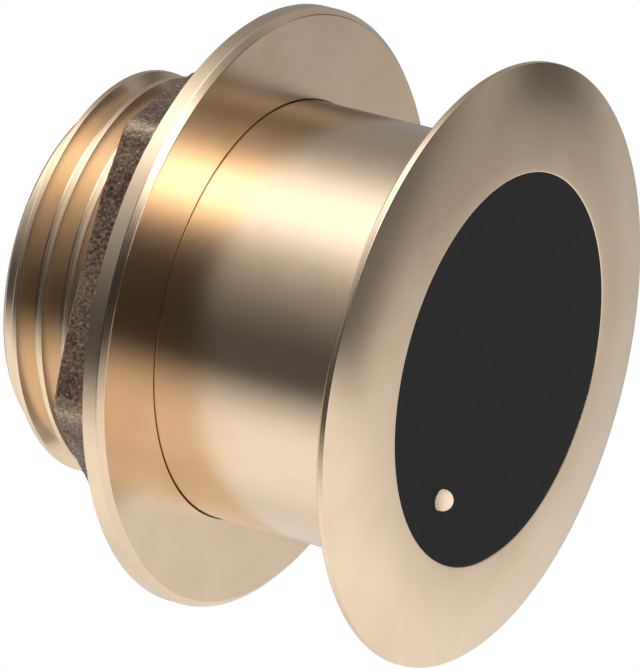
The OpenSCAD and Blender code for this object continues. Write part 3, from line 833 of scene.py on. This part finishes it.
class TRANSDUCER_OT_stage(bpy.types.Operator):
    """Sets up the studio: camera, softbox, walls for the metal to mirror, pale floor and white background"""
    bl_idname = "transducer.stage"
    bl_label = "Stage"

    def execute(self, context):
        scene = context.scene
        stage = scene.transducer_stage
        scene.view_settings.view_transform = "Standard"
        view = self.add_camera(scene, stage)
        self.add_softbox(scene, stage, view)
        self.add_walls(scene, stage, view)
        self.add_floor(scene)
        self.light_world(scene, stage)
        return {"FINISHED"}

    def add_camera(self, scene, stage):
        """Adds the camera and returns the part's middle with the camera's axes, to place the studio by."""
        camera = bpy.data.objects.new("camera", bpy.data.cameras.new("camera"))
        scene.collection.objects.link(camera)
        sight = Vector((0, math.cos(stage.elevation), -math.sin(stage.elevation)))
        turn = sight.to_track_quat("-Z", "Y").to_matrix() @ Matrix.Rotation(stage.roll, 3, "Z")
        place = Matrix.Translation(Vector(stage.target) - sight * stage.distance)
        camera.matrix_world = place @ turn.to_4x4()
        camera.data.sensor_fit = "HORIZONTAL"
        camera.data.sensor_width = 36
        camera.data.lens = stage.focal_length
        scene.camera = camera
        return Matrix.Translation(Vector(stage.target)) @ turn.to_4x4()

    def add_softbox(self, scene, stage, view):
        """Hangs a long strip softbox over the part, side by side with its axis."""
        width, long_side, distance = 0.5, 1.0, 0.9
        lamp = bpy.data.lights.new("softbox", "AREA")
        lamp.shape = "RECTANGLE"
        lamp.size, lamp.size_y = width, long_side
        lamp.energy = stage.softbox_light * math.pi * width * long_side
        softbox = bpy.data.objects.new("softbox", lamp)
        scene.collection.objects.link(softbox)
        outward = view.to_3x3() @ SOFTBOX
        along = Vector((0, 0, 1))
        turn = Matrix((along.cross(outward), along, outward)).transposed()
        softbox.matrix_world = Matrix.Translation(view.translation + outward * distance) @ turn.to_4x4()
        # The metal mirrors the softbox's soft-edged picture on the walls instead
        softbox.visible_camera = False
        softbox.visible_glossy = False

    def add_walls(self, scene, stage, view):
        """Puts the mirrored room round the part, in the camera's axes. Only reflections show it."""
        bm = bmesh.new()
        bmesh.ops.create_uvsphere(bm, u_segments=48, v_segments=24, radius=2)
        mesh = bpy.data.meshes.new("studio_walls")
        bm.to_mesh(mesh)
        bm.free()
        mesh.materials.append(self.wall_panels(stage, view))
        walls = bpy.data.objects.new("studio_walls", mesh)
        scene.collection.objects.link(walls)
        walls.matrix_world = view
        walls.visible_camera = False
        walls.visible_diffuse = False
        walls.visible_transmission = False
        walls.visible_shadow = False

    def wall_panels(self, stage, view):
        """The glow of the room: its panels and the softbox's strip, each bounded by its fades."""
        material, tree, output = new_material("studio_walls")
        measures = self.wall_measures(tree, view)
        fades = {}
        for name, (measure, out, full) in FADES.items():
            fades[name] = add_node(tree, "ShaderNodeMapRange", {"Value": measures[measure], 1: out, 2: full},
                                   interpolation_type="SMOOTHSTEP").outputs[0]
        strips = []
        for half, (spread, strength) in STRIPS.items():
            sharpness = 2 / spread ** 2
            fall = add_node(tree, "ShaderNodeMath", {0: measures["strip"], 1: sharpness, 2: -sharpness},
                            operation="MULTIPLY_ADD")
            fades[half + "_strip"] = add_node(tree, "ShaderNodeMath", {0: fall.outputs[0]},
                                              operation="EXPONENT").outputs[0]
            strips.append((stage.softbox_light * strength, half, half + "_strip"))
        glow = 0.0
        for light, *bounds in (*PANELS, *strips):
            for bound in bounds:
                light = add_node(tree, "ShaderNodeMath", {0: light, 1: fades[bound]},
                                 operation="MULTIPLY").outputs[0]
            glow = add_node(tree, "ShaderNodeMath", {0: glow, 1: light}, operation="ADD").outputs[0]
        shader = add_node(tree, "ShaderNodeEmission", {"Color": opaque(linear("#ffffff")), "Strength": glow})
        tree.links.new(shader.outputs[0], output.inputs["Surface"])
        return material

    def wall_measures(self, tree, view):
        """What the fades measure on the wall, in the camera's axes and round the part's axis."""
        place = add_node(tree, "ShaderNodeTexCoord").outputs["Object"]
        outward = add_node(tree, "ShaderNodeVectorMath", {0: place}, operation="NORMALIZE").outputs[0]
        right, up, toward = add_node(tree, "ShaderNodeSeparateXYZ", {0: outward}).outputs
        axis = view.to_3x3().inverted() @ Vector((0, 0, 1))
        along = add_node(tree, "ShaderNodeVectorMath", {0: outward, 1: axis}, operation="DOT_PRODUCT")
        # The front half leans to the left
        lean = -0.7
        depth = add_node(tree, "ShaderNodeMath", {0: right, 1: lean, 2: toward}, operation="MULTIPLY_ADD")
        measures = {"right": right, "up": up, "toward": toward, "along": along.outputs["Value"],
                    "depth": depth.outputs[0]}
        # Two more are cosines of the turn round the part's axis, from straight up and from the softbox
        around = add_node(tree, "ShaderNodeVectorMath", {0: outward, 1: axis}, operation="CROSS_PRODUCT")
        reach = add_node(tree, "ShaderNodeVectorMath", {0: around.outputs[0]}, operation="LENGTH")
        for name, direction in (("rise", Vector((0, 1, 0))), ("strip", SOFTBOX)):
            square = (direction - axis * direction.dot(axis)).normalized()
            near = add_node(tree, "ShaderNodeVectorMath", {0: outward, 1: square}, operation="DOT_PRODUCT")
            turned = add_node(tree, "ShaderNodeMath", {0: near.outputs["Value"], 1: reach.outputs["Value"]},
                              operation="DIVIDE")
            measures[name] = turned.outputs[0]
        return measures

    def add_floor(self, scene):
        """Lays a pale floor under the part, clear from below, that fades out to the white background."""
        radius, fade_start = 0.7, 0.25
        bm = bmesh.new()
        bmesh.ops.create_circle(bm, cap_ends=True, segments=128, radius=radius)
        bmesh.ops.recalc_face_normals(bm, faces=bm.faces)
        mesh = bpy.data.meshes.new("floor")
        bm.to_mesh(mesh)
        bm.free()
        material, tree, output = new_material("pale_floor")
        place = add_node(tree, "ShaderNodeTexCoord").outputs["Object"]
        reach = add_node(tree, "ShaderNodeVectorMath", {0: place}, operation="LENGTH")
        fade = add_node(tree, "ShaderNodeMapRange", {"Value": reach.outputs["Value"], 1: fade_start,
                                                     2: radius}, interpolation_type="SMOOTHSTEP")
        side = add_node(tree, "ShaderNodeNewGeometry").outputs["Backfacing"]
        clear = add_node(tree, "ShaderNodeMath", {0: fade.outputs[0], 1: side}, operation="MAXIMUM")
        paint = add_node(tree, "ShaderNodeBsdfDiffuse", {"Color": opaque(linear("#f7f6f4"))})
        glass = add_node(tree, "ShaderNodeBsdfTransparent")
        shader = add_node(tree, "ShaderNodeMixShader", {0: clear.outputs[0], 1: paint.outputs[0],
                                                        2: glass.outputs[0]})
        tree.links.new(shader.outputs[0], output.inputs["Surface"])
        mesh.materials.append(material)
        floor = bpy.data.objects.new("floor", mesh)
        scene.collection.objects.link(floor)
        floor.visible_diffuse = False
        floor.visible_glossy = False
        floor.visible_transmission = False
        floor.visible_shadow = False

    def light_world(self, scene, stage):
        """Makes the background white to the camera and to mirrors, and an even soft light otherwise."""
        world = bpy.data.worlds.new("studio")
        scene.world = world
        world.use_nodes = True
        tree = world.node_tree
        tree.nodes.clear()
        path = add_node(tree, "ShaderNodeLightPath")
        seen = path.outputs["Is Camera Ray"]
        for ray in ("Is Glossy Ray", "Is Transmission Ray"):
            seen = add_node(tree, "ShaderNodeMath", {0: seen, 1: path.outputs[ray]},
                            operation="MAXIMUM").outputs[0]
        strength = add_node(tree, "ShaderNodeMapRange", {"Value": seen, 3: stage.fill_light, 4: 1.0})
        light = add_node(tree, "ShaderNodeBackground", {"Color": opaque(linear("#ffffff")),
                                                        "Strength": strength.outputs[0]})
        output = add_node(tree, "ShaderNodeOutputWorld")
        tree.links.new(light.outputs[0], output.inputs["Surface"])


GROUPS = {
    "transducer_housing": TransducerHousing,
    "transducer_thread": TransducerThread,
    "transducer_nut": TransducerNut,
    "transducer_gland": TransducerGland,
    "transducer_colours": TransducerColours,
    "transducer_stage": TransducerStage,
}
STEPS = (
    TRANSDUCER_OT_stage,
    TRANSDUCER_OT_housing,
    TRANSDUCER_OT_hull_nut,
    TRANSDUCER_OT_sounding_face,
    TRANSDUCER_OT_cable_gland,
    TRANSDUCER_OT_sounding_element,
    TRANSDUCER_OT_electronics,
)


class TRANSDUCER_PT_panel(bpy.types.Panel):
    """Lists the sizes, the colours and the steps that build the transducer"""
    bl_idname = "TRANSDUCER_PT_panel"
    bl_label = "Sonar Transducer"
    bl_space_type = "VIEW_3D"
    bl_region_type = "UI"
    bl_category = "Transducer"

    def draw(self, context):
        for name, group in GROUPS.items():
            box = self.layout.box()
            box.label(text=group.__doc__)
            for field in group.__annotations__:
                box.prop(getattr(context.scene, name), field)
        for step in STEPS:
            self.layout.operator(step.bl_idname)


def register():
    for group in GROUPS.values():
        bpy.utils.register_class(group)
    for step in STEPS:
        bpy.utils.register_class(step)
    bpy.utils.register_class(TRANSDUCER_PT_panel)
    for name, group in GROUPS.items():
        setattr(bpy.types.Scene, name, PointerProperty(type=group))


def unregister():
    for name in GROUPS:
        delattr(bpy.types.Scene, name)
    bpy.utils.unregister_class(TRANSDUCER_PT_panel)
    for step in STEPS:
        bpy.utils.unregister_class(step)
    for group in GROUPS.values():
        bpy.utils.unregister_class(group)


def main():
    """Registers the add-on and runs its steps in order."""
    register()
    bpy.ops.transducer.stage()
    bpy.ops.transducer.housing()
    bpy.ops.transducer.hull_nut()
    bpy.ops.transducer.sounding_face()
    bpy.ops.transducer.cable_gland()
    bpy.ops.transducer.sounding_element()
    bpy.ops.transducer.electronics()
    bpy.context.view_layer.update()


if __name__ == "__main__":
    main()
